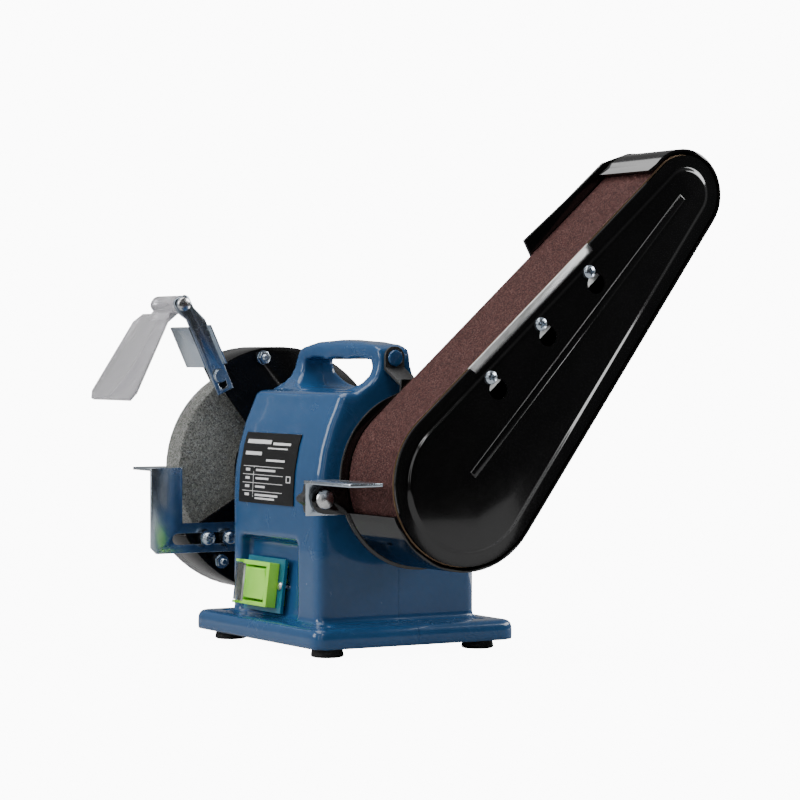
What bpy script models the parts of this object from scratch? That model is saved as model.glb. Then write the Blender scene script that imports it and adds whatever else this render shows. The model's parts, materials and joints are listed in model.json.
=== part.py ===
"""Bench belt grinder: motor stand, grinding wheel on the left, tilting belt arm on the right.

Sizes are millimetres in this file and become metres when a mesh is made.
Everything is drawn with +X along the motor shaft towards the belt arm, -Y the switch side, +Z up
and the origin on the floor under the middle of the base. The last lines then move that origin
under the middle of the whole object's box.
"""
import math

import bmesh
import bpy
from mathutils import Matrix, Vector

MM = 0.001
GAP = 0.3                                   # clearance left between touching pieces

# Driving dimensions
BASE_X, BASE_Y, BASE_LOW, BASE_TOP = 163.0, 138.0, 5.6, 18.0
BASE_WALL = 3.5
BODY_X, BODY_Y, BODY_TOP, WALL = 115.0, 109.0, 156.0, 4.0
SHAFT_Z = 104.0
FOOT_X, FOOT_Y = 63.0, 52.0
MIDDLE_X, MIDDLE_Y = -7.6, 36.715            # middle of the whole object's box, seen from the base's middle
NECK_LEFT, NECK_RIGHT = -95.7, 76.0         # ends of the two bearing necks
WHEEL_R, WHEEL_X0, WHEEL_X1 = 67.0, -126.5, -106.5
GUARD_R, GUARD_X0, GUARD_X1 = 79.0, -135.0, -96.0
GUARD_OPEN_TOP, GUARD_OPEN_LOW = 118.0, 212.0   # degrees, measured from +Y over the top
THREAD_R = 6.35                             # both threaded ends of the motor shaft
BORE_R = THREAD_R + GAP
BELT_LENGTH, BELT_THICK = 686.0, 1.0
BELT_X0, BELT_X1 = 83.5, 133.5
DRUM_R, IDLER_R = 47.5, 22.5                # inner faces of the belt
ARM_TILT = math.radians(48.0)
PLATE_X0, PLATE_X1 = 80.0, 82.0             # the arm's back plate
COVER_X0, COVER_X1, EMBOSS = 135.3, 136.5, 1.6
STRIP_OUT, STRIP_THICK = 3.0, 1.5           # edge guard outside the belt loop
SLIDE_TRAVEL = 8.0                          # of the top roller against its spring

UP = Matrix.Rotation(-math.pi / 2, 4, "Y")      # turns a piece drawn along X to stand along Z
FORWARD = Matrix.Rotation(-math.pi / 2, 4, "Z")  # turns a piece drawn along X to lie along -Y


def belt_centre_distance(length, big, small):
    """Distance between two rollers that a loop of this length goes round."""
    distance = length / 2 - big
    for _ in range(30):
        lean = math.asin((big - small) / distance)
        arcs = math.pi * (big + small) + 2 * lean * (big - small)
        distance = math.hypot((length - arcs) / 2, big - small)
    return distance


REACH = belt_centre_distance(BELT_LENGTH, DRUM_R + BELT_THICK / 2, IDLER_R + BELT_THICK / 2)
LEAN = math.asin((DRUM_R - IDLER_R) / REACH)


# ---------------------------------------------------------------- helpers
def clear_scene():
    for obj in list(bpy.data.objects):
        bpy.data.objects.remove(obj, do_unlink=True)


def material(name, colour, roughness, metallic=0.0, alpha=1.0):
    found = bpy.data.materials.get(name)
    if found:
        return found
    made = bpy.data.materials.new(name)
    made.use_nodes = True
    shader = made.node_tree.nodes["Principled BSDF"]
    shader.inputs["Base Color"].default_value = (*colour, 1.0)
    shader.inputs["Roughness"].default_value = roughness
    shader.inputs["Metallic"].default_value = metallic
    shader.inputs["Alpha"].default_value = alpha
    return made


def shape(bm):
    """A loose object from a bmesh in millimetres, its faces turned outwards."""
    bmesh.ops.remove_doubles(bm, verts=bm.verts, dist=0.001)
    bmesh.ops.recalc_face_normals(bm, faces=bm.faces)
    mesh = bpy.data.meshes.new("shape")
    bm.to_mesh(mesh)
    bm.free()
    obj = bpy.data.objects.new("shape", mesh)
    bpy.context.scene.collection.objects.link(obj)
    return obj


def combine(base, tools, operation):
    """Base with each tool united with it, cut from it or intersected; the tools are used up."""
    for tool in tools:
        modifier = base.modifiers.new(operation, "BOOLEAN")
        modifier.operation = operation
        modifier.object = tool
        graph = bpy.context.evaluated_depsgraph_get()
        mesh = bpy.data.meshes.new_from_object(base.evaluated_get(graph))
        base.modifiers.remove(modifier)
        base.data = mesh
        bpy.data.objects.remove(tool)
    return base


def join(base, *tools):
    return combine(base, tools, "UNION")


def cut(base, *tools):
    return combine(base, tools, "DIFFERENCE")


def common(base, *tools):
    return combine(base, tools, "INTERSECT")


def bevel(bm, edges, width, segments):
    bmesh.ops.bevel(bm, geom=list(edges), offset=width, segments=segments, profile=0.5,
                    affect="EDGES", clamp_overlap=True, material=-1)


def along(edge, axis):
    way = (edge.verts[1].co - edge.verts[0].co).normalized()
    return abs(way[axis]) > 0.999


def box(x0, x1, y0, y1, z0, z1, upright=0.0, top=0.0, segments=3):
    """A block; upright rounds its four vertical edges and top its upper ones."""
    bm = bmesh.new()
    size = Vector((x1 - x0, y1 - y0, z1 - z0))
    middle = Vector((x1 + x0, y1 + y0, z1 + z0)) / 2
    place = Matrix.Translation(middle) @ Matrix.Diagonal((*size, 1))
    bmesh.ops.create_cube(bm, size=1.0, matrix=place)
    if upright:
        bevel(bm, [e for e in bm.edges if along(e, 2)], upright, segments)
    if top:
        rim = [e for e in bm.edges if all(abs(v.co.z - z1) < 1e-4 for v in e.verts)]
        bevel(bm, rim, top, segments)
    return shape(bm)


def prism(outline, low, high, axis="X", edge=0.0, segments=2):
    """An outline pushed along X or Y. Its points are (y, z) or (x, z)."""
    place = {"X": lambda a, b, c: (c, a, b), "Y": lambda a, b, c: (a, c, b)}[axis]
    bm = bmesh.new()
    face = bm.faces.new([bm.verts.new(place(a, b, low)) for a, b in outline])
    push = Vector(place(0, 0, high - low))
    made = bmesh.ops.extrude_face_region(bm, geom=[face])
    far = [v for v in made["geom"] if isinstance(v, bmesh.types.BMVert)]
    bmesh.ops.translate(bm, verts=far, vec=push)
    if edge:
        number = "XY".index(axis)
        bevel(bm, [e for e in bm.edges if not along(e, number)], edge, segments)
    return shape(bm)


def turned(profile, y=0.0, z=0.0, steps=32):
    """A solid of revolution about an X axis at (y, z), from a chain of (x, radius) points.

    A chain that starts and ends on the axis makes a solid; any other is closed into a ring.
    """
    bm = bmesh.new()
    verts = [bm.verts.new((x, 0.0, radius)) for x, radius in profile]
    solid = profile[0][1] == 0 and profile[-1][1] == 0
    pairs = list(zip(verts, verts[1:])) + ([] if solid else [(verts[-1], verts[0])])
    edges = [bm.edges.new(pair) for pair in pairs]
    bmesh.ops.spin(bm, geom=verts + edges, cent=(0, 0, 0), axis=(1, 0, 0), dvec=(0, 0, 0),
                   angle=math.tau, steps=steps, use_merge=True, use_duplicate=False)
    bmesh.ops.translate(bm, verts=bm.verts, vec=(0, y, z))
    return shape(bm)


def rod(x0, x1, radius, y=0.0, z=0.0, steps=16):
    return turned([(x0, 0), (x0, radius), (x1, radius), (x1, 0)], y, z, steps)


def tube(x0, x1, inner, outer, y=0.0, z=0.0, steps=32):
    return turned([(x0, inner), (x0, outer), (x1, outer), (x1, inner)], y, z, steps)


def arc(radius, start, end, step=6.0, centre=(0.0, 0.0)):
    """Points on an arc, in degrees, both ends included."""
    count = max(1, round(abs(end - start) / step))
    angles = [math.radians(start + (end - start) * i / count) for i in range(count + 1)]
    return [(centre[0] + radius * math.cos(a), centre[1] + radius * math.sin(a)) for a in angles]


def slot(radius, first, second):
    """Outline of a long hole whose round ends are centred on two points of one row."""
    return arc(radius, 90, 270, 30, first) + arc(radius, -90, 90, 30, second)


def moved(obj, matrix):
    obj.data.transform(matrix)
    return obj


def at(x, y, z):
    return Matrix.Translation((x, y, z))


def frame(name, x=0.0, y=0.0, z=SHAFT_Z, tilt=0.0):
    """An empty on a joint's axis; the pieces that move with it are its children."""
    empty = bpy.data.objects.new(name, None)
    bpy.context.scene.collection.objects.link(empty)
    empty.matrix_world = Matrix.Translation(Vector((x, y, z)) * MM) @ Matrix.Rotation(tilt, 4, "X")
    bpy.context.view_layer.update()
    return empty


def node(name, obj, finish, holder=None, local=False):
    """Names a finished shape, gives it its finish and hangs it on its holder.

    A shape drawn in the holder's own coordinates is local; any other was drawn in the object's.
    """
    obj.name = obj.data.name = name
    obj.data.transform(Matrix.Scale(MM, 4))
    if holder:
        if not local:
            obj.data.transform(holder.matrix_world.inverted())
        obj.parent = holder
    obj.data.materials.clear()
    obj.data.materials.append(finish)
    obj.data.shade_smooth()
    obj.data.set_sharp_from_angle(angle=math.radians(35))
    return obj


# ---------------------------------------------------------------- finishes
clear_scene()
BLUE = material("blue_enamel", (0.028, 0.110, 0.260), 0.30)
BLACK = material("black_enamel", (0.010, 0.010, 0.011), 0.22)
MATT = material("matt_black", (0.014, 0.014, 0.014), 0.60)
ZINC = material("zinc_plate", (0.62, 0.65, 0.66), 0.32, 1.0)
STEEL = material("bright_steel", (0.56, 0.57, 0.58), 0.30, 1.0)
CAST = material("cast_aluminium", (0.55, 0.55, 0.56), 0.45, 1.0)
CORE = material("motor_laminations", (0.20, 0.20, 0.21), 0.50, 1.0)
COPPER = material("copper_winding", (0.60, 0.26, 0.12), 0.40, 1.0)
RUBBER = material("black_rubber", (0.012, 0.012, 0.012), 0.80)
STONE = material("grey_abrasive_stone", (0.125, 0.125, 0.112), 0.92)
GRIT = material("brown_abrasive_cloth", (0.150, 0.062, 0.052), 0.90)
CLEAR = material("smoky_clear_plastic", (0.66, 0.65, 0.68), 0.12, alpha=0.45)
GREEN = material("green_plastic", (0.22, 0.63, 0.03), 0.35)
SWITCH_BLUE = material("switch_plate_blue", (0.010, 0.140, 0.230), 0.35)
LABEL = material("label_black", (0.012, 0.012, 0.014), 0.45)
PLASTIC = material("black_plastic", (0.015, 0.015, 0.016), 0.45)


# ---------------------------------------------------------------- housing
SWITCH_LEAN = math.radians(7.0)
SWITCH_MID = at(-14.5, -52.6, 37.5) @ Matrix.Rotation(-SWITCH_LEAN, 4, "X")
SWITCH_SCREW = SWITCH_MID @ at(20.9, 0, 0) @ FORWARD


def body_outline(inset=0.0, low=10.0):
    """The stand's side view: upright below, leaning in above, flat on top."""
    lean_r, lean_z = 125.0 - inset, 92.0     # radius and lower end of the curved faces
    half = BODY_Y / 2 - inset
    top = BODY_TOP - inset
    front = [(-half, low), (-half, lean_z)]
    for degrees in (7, 14, 21, 27):
        a = math.radians(degrees)
        front.append((-half + lean_r - lean_r * math.cos(a), lean_z + lean_r * math.sin(a)))
    last = front[-1]
    front += [(last[0] + 2.2, top - 1.6), (last[0] + 6.0, top)]
    return front + [(-y, z) for y, z in reversed(front)]


def handle():
    """A loop over the body with finger bumps under its grip, flared where it meets the body."""
    outer = [(-57, 148), (-56, 155), (-52, 165), (-49.5, 175), (-44, 182), (-25, 186), (3, 187.3), (30, 186),
             (48, 184), (55, 181.5), (57.5, 176), (57.5, 148)]
    grip_low, pitch, bump = 174.8, 26.0, 1.5
    under = []
    for i in range(19):
        x = -39 + i * 84 / 18
        under.append((x, grip_low + bump * abs(math.sin(math.pi * (x + 11) / pitch))))
    opening = [(-29, 157.2), (-34, 160), (-38.5, 167)] + under + [(47.5, 168), (44, 160), (39, 157.2)]
    bar = prism(outer, -28, 28, "Y")
    widths = [(148, 27), (157, 24), (161, 17), (166, 12.8), (172, 10.8), (183.5, 10.8), (187.6, 6.5)]
    flare = [(-2 - w, z) for z, w in widths] + [(-2 + w, z) for z, w in reversed(widths)]
    common(bar, prism(flare, -70, 70, "X"))
    return cut(bar, prism(opening, -40, 40, "Y"))


def necks():
    """The two horizontal tubes that carry the bearings."""
    left = [(-52, 0), (-52, 38), (-62, 36), (-90, 34), (NECK_LEFT, 31), (NECK_LEFT, 0)]
    right = [(52, 0), (52, 40), (58, 40), (60, 36), (NECK_RIGHT, 36), (NECK_RIGHT, 0)]
    return [turned(profile, z=SHAFT_Z) for profile in (left, right)]


def line_bore():
    """The cutter for the shaft's passage and both bearing seats."""
    seat_l0, seat_l1 = NECK_LEFT + 3.2, NECK_LEFT + 14.8
    seat_r0, seat_r1 = NECK_RIGHT - 14.5, NECK_RIGHT - 2.9
    clear, middle, seat = 10, 14, 17.8
    profile = [(-100, 0), (-100, clear), (seat_l0, clear), (seat_l0, seat), (seat_l1, seat), (seat_l1, middle),
               (seat_r0, middle), (seat_r0, seat), (seat_r1, seat), (seat_r1, clear), (80, clear), (80, 0)]
    return moved(turned(profile, steps=24), at(0, 0, SHAFT_Z) @ Matrix.Rotation(0.1, 4, "X"))


def feet():
    """Each foot's end, side and place under the base."""
    for side, x in (("left", -FOOT_X), ("right", FOOT_X)):
        for end, y in (("front", -FOOT_Y), ("rear", FOOT_Y)):
            yield end, side, at(x, y, 0) @ UP


def housing():
    """Both halves in one piece, hollow and open underneath."""
    half_x, half_y = BASE_X / 2, BASE_Y / 2
    shell = box(-half_x, half_x, -half_y, half_y, BASE_LOW, BASE_TOP, upright=8, top=4.5)
    body = prism(body_outline(), -BODY_X / 2, BODY_X / 2, "X", edge=5.5, segments=3)
    join(shell, body, handle(), *necks())
    inner_x, inner_y = BODY_X / 2 - WALL, BODY_Y / 2 - WALL
    base_x, base_y = half_x - BASE_WALL, half_y - BASE_WALL
    hollow = body_outline(WALL, low=-5.0)
    rib_in, rib_out, stator_seat = 20.0, 24.0, 45.4
    cutters = [box(-base_x, base_x, -base_y, base_y, 0, 14.3)]
    cutters += [prism(hollow, a, b) for a, b in ((-inner_x, -rib_out), (-rib_in, rib_in), (rib_out, inner_x))]
    cutters += [rod(-rib_out - 1, rib_out + 1, stator_seat, z=SHAFT_Z, steps=40)]
    cutters += [box(0.5 - inner_x, inner_x - 0.5, 0.5 - inner_y, inner_y - 0.5, -5, 56)]
    cut(shell, *cutters, line_bore())
    # pad behind the switch recess, then the recess and the hole for the switch
    join(shell, box(-49, 33, -BODY_Y / 2 + 2, -41.5, 10, 71))
    recess = [(-60, 66), (-49, 66), (-45.5, 63), (-51.3, BASE_TOP + 0.2), (-60, BASE_TOP + 0.2)]
    cut(shell, prism(recess, -45, 29), box(-31.5, 3.5, -60, -38, 22.3, 51.0))
    cut(shell, moved(rod(-8, 1, 2.2, steps=10), SWITCH_SCREW))
    return cut(shell, *(moved(rod(0, 30, 3.2, steps=12), place) for _, _, place in feet()))


whole = housing()
rear = whole.copy()
rear.data = whole.data.copy()
bpy.context.scene.collection.objects.link(rear)
cut(whole, box(-120, 120, -GAP / 2, 120, -10, 220))
cut(rear, box(-120, 120, -120, GAP / 2, -10, 220))
node("front_housing", whole, BLUE)
node("rear_housing", rear, BLUE)

# ---------------------------------------------------------------- base
plate = box(-77.5, 77.5, -65, 65, 6.0, 7.5)
for end, side, place in feet():
    cut(plate, moved(rod(2, 12, 3.2, steps=12), place))
    foot = turned([(0, 3.4), (0, 9.0), (1.0, 10.0), (5.7, 9.0), (5.7, 3.4)], steps=20)
    node(f"foot_{end}_{side}", moved(foot, place), RUBBER)
for x in (-30, -15, 0, 15, 30):
    cut(plate, box(x - 2, x + 2, -20, 20, 2, 12))
node("base_plate", plate, ZINC)

# ---------------------------------------------------------------- motor, fixed pieces
SLOTS = [math.radians(45 * i + 22.5) for i in range(8)]
SLOT_MIDDLES = [(33.0 * math.cos(a), SHAFT_Z + 33.0 * math.sin(a)) for a in SLOTS]
stator = tube(-18, 18, 28.3, 45.0, z=SHAFT_Z, steps=40)
node("motor_stator", cut(stator, *(rod(-20, 20, 2.6, y, z, 8) for y, z in SLOT_MIDDLES)), CORE)
end_turns = [(31, 31), (31, 39), (25, 42.5), (18.3, 41), (18.3, 30)]
winding = turned([(-x, radius) for x, radius in end_turns], z=SHAFT_Z, steps=28)
join(winding, turned(end_turns, z=SHAFT_Z, steps=28), *(rod(-20, 20, 2.2, y, z, 8) for y, z in SLOT_MIDDLES))
node("stator_winding", winding, COPPER)
for name, x0 in (("bearing_left", NECK_LEFT + 3.5), ("bearing_right", NECK_RIGHT - 14.2)):
    node(name, tube(x0, x0 + 11, 7.8, 17.5, z=SHAFT_Z, steps=28), STEEL)
node("run_capacitor", rod(-16, 32, 14.5, 22, 34, 24), PLASTIC)

# ---------------------------------------------------------------- switch
switch_plate = box(-24.2, 24.5, -1.0, 1.0, -16.5, 16.5)
cut(switch_plate, box(-16.0, 17.0, -4, 4, -12.3, 12.3))
cut(switch_plate, moved(rod(-4, 4, 1.9, steps=10), at(20.9, 0, 0) @ FORWARD))
node("switch_plate", moved(switch_plate, SWITCH_MID), SWITCH_BLUE)
switch_screw = turned([(-6, 0), (-6, 1.6), (1.3, 1.6), (1.3, 2.6), (2.2, 2.0), (2.6, 0)], steps=12)
node("switch_screw", moved(switch_screw, SWITCH_SCREW), STEEL)
switch_body = box(-17.5, 18.0, -8.0, -1.3, -13.5, 13.5)
flap_lugs = [box(-21.0, -17, -11.0, -5, z, z + 1.6) for z in (11.9, -13.5)]
join(switch_body, box(-15.7, 16.7, -2, 22, -12, 12), *flap_lugs)
cut(switch_body, box(-13.5, 14.0, -12, 4.0, -11, 11))
node("switch_body", moved(switch_body, SWITCH_MID), GREEN)
rocker_frame = frame("rocker_pivot", x=-14.25, y=-53.5, z=37.5)
rocker = prism([(-8.6, -9.3), (-3.5, -9.8), (-0.5, 0), (-3.5, 9.8), (-9.4, 9.3), (-7.2, 0)], -13.2, 13.7, "X")
node("switch_rocker", moved(rocker, SWITCH_MID), GREEN, rocker_frame)
FLAP_OPEN = at(-19.9, -9.8, 0) @ Matrix.Rotation(-math.radians(14), 4, "Z")
pivot = SWITCH_MID @ FLAP_OPEN.translation
flap_frame = frame("flap_pivot", x=pivot.x, y=pivot.y, z=pivot.z)
flap = join(box(-0.6, 20, -1.0, 0.2, -11.5, 11.5), moved(rod(-11, 11, 1.2, steps=10), UP))
node("switch_flap", moved(flap, SWITCH_MID @ FLAP_OPEN), CLEAR, flap_frame)

# ---------------------------------------------------------------- rating plate


def front_y(z):
    """Y of the housing's front face at this height."""
    points = body_outline()
    for (y0, z0), (y1, z1) in zip(points, points[1:]):
        if z0 <= z <= z1:
            return y0 + (y1 - y0) * (z - z0) / (z1 - z0)
    return points[0][0]


heights = [87.0, 92.0, 107.23, 122.24, 130.0]
back = [(front_y(z) - GAP, z) for z in heights]
rating = back + [(y - 0.5, z) for y, z in reversed(back)]
node("rating_plate", prism(rating, -45.0, 26.0), LABEL)

# ---------------------------------------------------------------- shaft group
SHAFT = frame("shaft_axis")
shaft_profile = [(-139, 0), (-139, THREAD_R), (-100.2, THREAD_R), (-100.2, 8.5), (-98.5, 8.5), (-98.5, 7.5),
                 (-80, 7.5), (-80, 9), (61, 9), (61, 7.5), (79, 7.5), (79, 8.5), (82.6, 8.5), (82.6, THREAD_R),
                 (131.5, THREAD_R), (131.5, 0)]
node("motor_shaft", turned(shaft_profile, steps=24), STEEL, SHAFT, local=True)
node("rotor", tube(-19, 19, 9.3, 28.0, steps=32), CORE, SHAFT, local=True)
node("grinding_wheel", tube(WHEEL_X0, WHEEL_X1, BORE_R, WHEEL_R, steps=56), STONE, SHAFT, local=True)
flange = [(0, BORE_R), (0, 26), (2.2, 26), (4.7, 12), (4.7, BORE_R)]
inner = [(WHEEL_X1 + GAP + x, radius) for x, radius in flange]
outer = [(WHEEL_X0 - GAP - x, radius) for x, radius in flange]
node("wheel_flange_inner", turned(inner, steps=28), STEEL, SHAFT, local=True)
node("wheel_flange_outer", turned(outer, steps=28), STEEL, SHAFT, local=True)
drum_profile = [(83.3, BORE_R), (83.3, 16), (84.5, 16), (84.5, 46.4), (86, 47.2), (131, 47.2), (132.5, 46.4),
                (132.5, 42), (94, 42), (94, 15), (120, 15), (120, BORE_R)]
node("drive_drum", turned(drum_profile, steps=48), CAST, SHAFT, local=True)
for name, x0, x1 in (("wheel_nut", -138.5, -131.8), ("drum_nut", 120.3, 127)):
    nut = prism(arc(10.9, 0, 300, 60), x0, x1)
    node(name, cut(nut, rod(x0 - 2, x1 + 2, BORE_R)), ZINC, SHAFT, local=True)


# ---------------------------------------------------------------- wheel guard
BRACKET_LEAN = math.atan2(21.0, 45.5)       # from upright, leaning to the front
BRACKET = at(-94.7, -43.0, 161.6) @ Matrix.Rotation(BRACKET_LEAN, 4, "X")
HINGE_LOCAL = (-4.2, 55.0)
PIN = BRACKET @ Vector((0, *HINGE_LOCAL))


def guard_sector(outer, inner, top, low, step=6.0):
    """Outline of a disc whose front sector is cut back to an inner radius."""
    rim = arc(outer, low, 360 + top, step)
    hub = arc(inner, top, low, 12)
    return [(y, z + SHAFT_Z) for y, z in rim + hub]


def guard_band(outer, inner, top, low, step=6.0):
    """Outline of a rim that leaves the front sector open."""
    rim = arc(outer, low, 360 + top, step)
    back = arc(inner, 360 + top, low, step)
    return [(y, z + SHAFT_Z) for y, z in rim + back]


GUARD_BOLTS = [(73.0, 99.5), (72.0, 234.0), (73.0, 345.0)]
guard = prism(guard_band(GUARD_R, GUARD_R - 1.5, GUARD_OPEN_TOP, GUARD_OPEN_LOW), GUARD_X0, GUARD_X1)
back = guard_sector(GUARD_R - 0.5, 32, GUARD_OPEN_TOP + 10, GUARD_OPEN_LOW - 2)
join(guard, prism(back, GUARD_X1 - 1.5, GUARD_X1 + 0.0002))
cut(guard, rod(-100, -90, 15, z=SHAFT_Z, steps=24))
cover = prism(guard_sector(GUARD_R, 20, GUARD_OPEN_TOP, GUARD_OPEN_LOW), -136.8, GUARD_X0 - GAP)
cup = [(-143, 0), (-143, 27.5), (-139.5, 31.5), (-135.6, 31.5), (-135.6, 0)]
room = [(-141.5, 0), (-141.5, 26.5), (-138.5, 28.6), (-130, 28.6), (-130, 0)]
cut(join(cover, turned(cup, z=SHAFT_Z, steps=28)), turned(room, z=SHAFT_Z, steps=28))
for number, (radius, degrees) in enumerate(GUARD_BOLTS, 1):
    a = math.radians(degrees)
    y, z = radius * math.cos(a), SHAFT_Z + radius * math.sin(a)
    cut(guard, rod(-100, -90, 2.4, y, z, 12))
    cut(cover, rod(-140, -130, 2.4, y, z, 12))
    bolt = [(-139.6, 0), (-139.6, 3.6), (-137.1, 4.2), (-137.1, 2.0), (-95.7, 2.0), (-95.7, 4.4), (-92.2, 4.4),
            (-92.2, 2.0), (-90.5, 2.0), (-90.5, 0)]
    node(f"guard_bolt_{number}", turned(bolt, y, z, 12), ZINC)
REST_BOLTS = [(-54.3, 61.0), (-38.7, 61.0)]
for number, (y, z) in enumerate(REST_BOLTS, 1):
    cut(guard, rod(-100, -90, 3.0, y, z, 12))
    bolt = [(-99.6, 0), (-99.6, 4.6), (-97.8, 5.0), (-97.8, 2.7), (-93.4, 2.7), (-93.4, 4.9), (-89.4, 4.9),
            (-89.4, 2.7), (-87.0, 2.7), (-87.0, 0)]
    node(f"wheel_rest_bolt_{number}", turned(bolt, y, z, 12), ZINC)
SHIELD_BOLT = BRACKET @ Vector((0, 0, 3))
join(guard, moved(box(-2.8, -1.3, -5, 7, -9, 6), BRACKET @ at(0, 0, 3)))
cut(guard, rod(-100, -90, 2.8, SHIELD_BOLT.y, SHIELD_BOLT.z, 12))
bolt = [(-100.2, 0), (-100.2, 4.2), (-97.8, 4.6), (-97.8, 2.5), (-93.4, 2.5), (-93.4, 4.6), (-91.2, 4.0),
        (-91.2, 0)]
node("shield_bracket_bolt", turned(bolt, SHIELD_BOLT.y, SHIELD_BOLT.z, 12), ZINC)
node("wheel_guard", guard, BLACK)
node("wheel_guard_cover", cover, BLACK)

# ---------------------------------------------------------------- wheel tool rest
REST_FRAME = frame("wheel_rest_slide", x=-94.7, y=-46.5, z=61.0)
rest_side = [(-92.5, 56), (-88.5, 52), (-22, 52), (-22, 71), (-70.5, 71), (-70.5, 106.5), (-92.5, 106.5)]
rest = join(prism(rest_side, -95.7, -93.7), box(-121, -93.8, -92.5, -70.5, 104.5, 106.5))
node("wheel_rest", cut(rest, prism(slot(3.5, (-74.0, 61.0), (-29.0, 61.0)), -100, -90)), ZINC, REST_FRAME)

# ---------------------------------------------------------------- eye shield
BRACKET_FRAME = frame("shield_bracket_slide", x=-94.7, y=SHIELD_BOLT.y, z=SHIELD_BOLT.z)
bracket_side = [(-6, -8), (6, -8), (6, 40), (1.8, 50), (1.5, 58), (-0.5, 60), (-8, 60), (-9.8, 58),
                (-9.5, 51), (-6, 45)]
bracket = prism(bracket_side, -1.0, 1.0)
join(bracket, box(-26, 0.9, -7.2, -5.6, 12, 40), box(-0.9, 5.5, 5.2, 6.4, 9, 36))
slide_hole = arc(2.9, 180, 360, 30, (0, -3.0)) + arc(2.9, 0, 180, 30, (0, 3.0))
cut(bracket, prism(slide_hole, -3, 3), rod(-3, 3, 2.6, *HINGE_LOCAL, 12))
node("eye_shield_bracket", moved(bracket, BRACKET), ZINC, BRACKET_FRAME)
pin = [(-133.0, 0), (-133.0, 4.6), (-130.2, 4.6), (-130.2, 2.2), (-93.4, 2.2), (-93.4, 4.8), (-91.4, 4.2),
       (-90.6, 0)]
node("shield_hinge_screw", turned(pin, PIN.y, PIN.z, 14), STEEL, BRACKET_FRAME)
SHIELD_FRAME = frame("shield_hinge", x=-112.0, y=PIN.y, z=PIN.z)
pane = [(-137, -6.5), (-100, -6.5), (-97, -9.5), (-90, -63), (-94, -68.5), (-151, -68.5), (-156, -63),
        (-146, -12)]
shield = prism(pane, -1.0, 1.0, "Y")
moved(shield, at(0, PIN.y - 4.0, PIN.z - 0.5) @ Matrix.Rotation(-math.radians(29), 4, "X"))
barrel = rod(-129.9, -96.2, 5.6, PIN.y, PIN.z, 16)
web = moved(prism([(-3.5, -2), (-9.6, -8.5), (-7.4, -11.5), (1.0, -4.8)], -127, -100), at(0, PIN.y, PIN.z))
join(shield, barrel, web)
node("eye_shield", cut(shield, rod(-140, -90, 2.5, PIN.y, PIN.z, 12)), CLEAR, SHIELD_FRAME)


# ---------------------------------------------------------------- belt arm outlines
def lean_of(big, small):
    """Degrees by which a line that touches both rollers' circles leans to the arm."""
    return math.degrees(math.asin((big - small) / REACH))


def loop(offset, step=6.0):
    """The belt loop in the arm's plane (u along the arm, v to the front), grown by an offset."""
    big, small = DRUM_R + offset, IDLER_R + offset
    lean = lean_of(big, small)
    return arc(big, 90 - lean, 270 + lean, step) + arc(small, -90 + lean, 90 - lean, step * 1.5, (REACH, 0.0))


def front_line(u, offset=BELT_THICK):
    """v of the belt's outer face on its front run."""
    return (DRUM_R + offset) / math.cos(LEAN) - u * math.tan(LEAN)


ARM = frame("arm_tilt_axis", tilt=ARM_TILT)
TO_ARM = Matrix.Rotation(-ARM_TILT, 4, "X") @ at(0, 0, -SHAFT_Z)

# back plate, with a foot for the tool rest and one for the stay
plate_r, plate_top = 53.3, 27.4
back_angle = 270 + lean_of(plate_r, plate_top)
outline = arc(plate_r, 67, back_angle, 5)
outline += arc(plate_top, back_angle - 360, 50, 9, (REACH, 0.0))
outline += [(REACH, 31.0), (REACH - 36, 35.2), (155.5, 41.0)]
outline += [(u, front_line(u, -1.5)) for u in (151.5, 34)]
back_plate = prism(outline, PLATE_X0, PLATE_X1)
BOLT_Y, BOLT_Z = -64.0, 94.0
lug = [(-40, 84)] + arc(8.6, 270, 90, 30, (BOLT_Y, BOLT_Z)) + [(-40, 102.6)]
join(back_plate, moved(prism(lug, PLATE_X0, PLATE_X1), TO_ARM))
join(back_plate, moved(prism([(-14, 148), (-12, 163.5), (2, 163.5), (6, 148)], PLATE_X0, PLATE_X1), TO_ARM))
axle_slot = slot(4.6, (REACH - SLIDE_TRAVEL, 0), (REACH, 0))
cut(back_plate, prism(axle_slot, 70, 90), rod(70, 90, 10, steps=24))
cut(back_plate, moved(rod(70, 90, 3.0, BOLT_Y, BOLT_Z, 12), TO_ARM))
GUIDES = [(REACH - 52, 9.0), (REACH - 52, -9.0)]
for u, v in GUIDES:
    cut(back_plate, rod(70, 90, 2.4, u, v, 10))
STAY_RIVET = (-4.5, 156.5)
cut(back_plate, moved(rod(70, 90, 2.3, *STAY_RIVET, 10), TO_ARM))
join(back_plate, box(68.5, 80.5, REACH - 100, REACH - 97.5, -7, 7))

# edge guard: from in front of the drum, under it, up the back and over the top roller
big, small = DRUM_R + BELT_THICK + STRIP_OUT, IDLER_R + BELT_THICK + STRIP_OUT + 0.5
turn = 270 + lean_of(big, small)


def strip_path(depth):
    """The edge guard's line, this deep under its outer face."""
    path = arc(big - depth, 153, turn, 6)
    path += arc(small - depth, turn - 360, 92, 8, (REACH, 0.0))
    return path + [(REACH - 8, small - depth + 1.6)]


edge_outline = strip_path(0.0) + list(reversed(strip_path(STRIP_THICK)))
join(back_plate, prism(edge_outline, PLATE_X1 - 0.8, 135.0))
node("arm_frame", back_plate, BLACK, ARM, local=True)

# abrasive belt
belt = prism(loop(BELT_THICK), BELT_X0, BELT_X1)
node("abrasive_belt", cut(belt, prism(loop(0.0), BELT_X0 - 5, BELT_X1 + 5)), GRIT, ARM, local=True)

# platen: a face behind the belt's front run and a flange under the side cover
PLATEN_U0, PLATEN_U1 = 50.0, 160.0
SCREWS = [(55.0, 30.1), (101.0, 25.3), (146.6, 20.9)]


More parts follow.
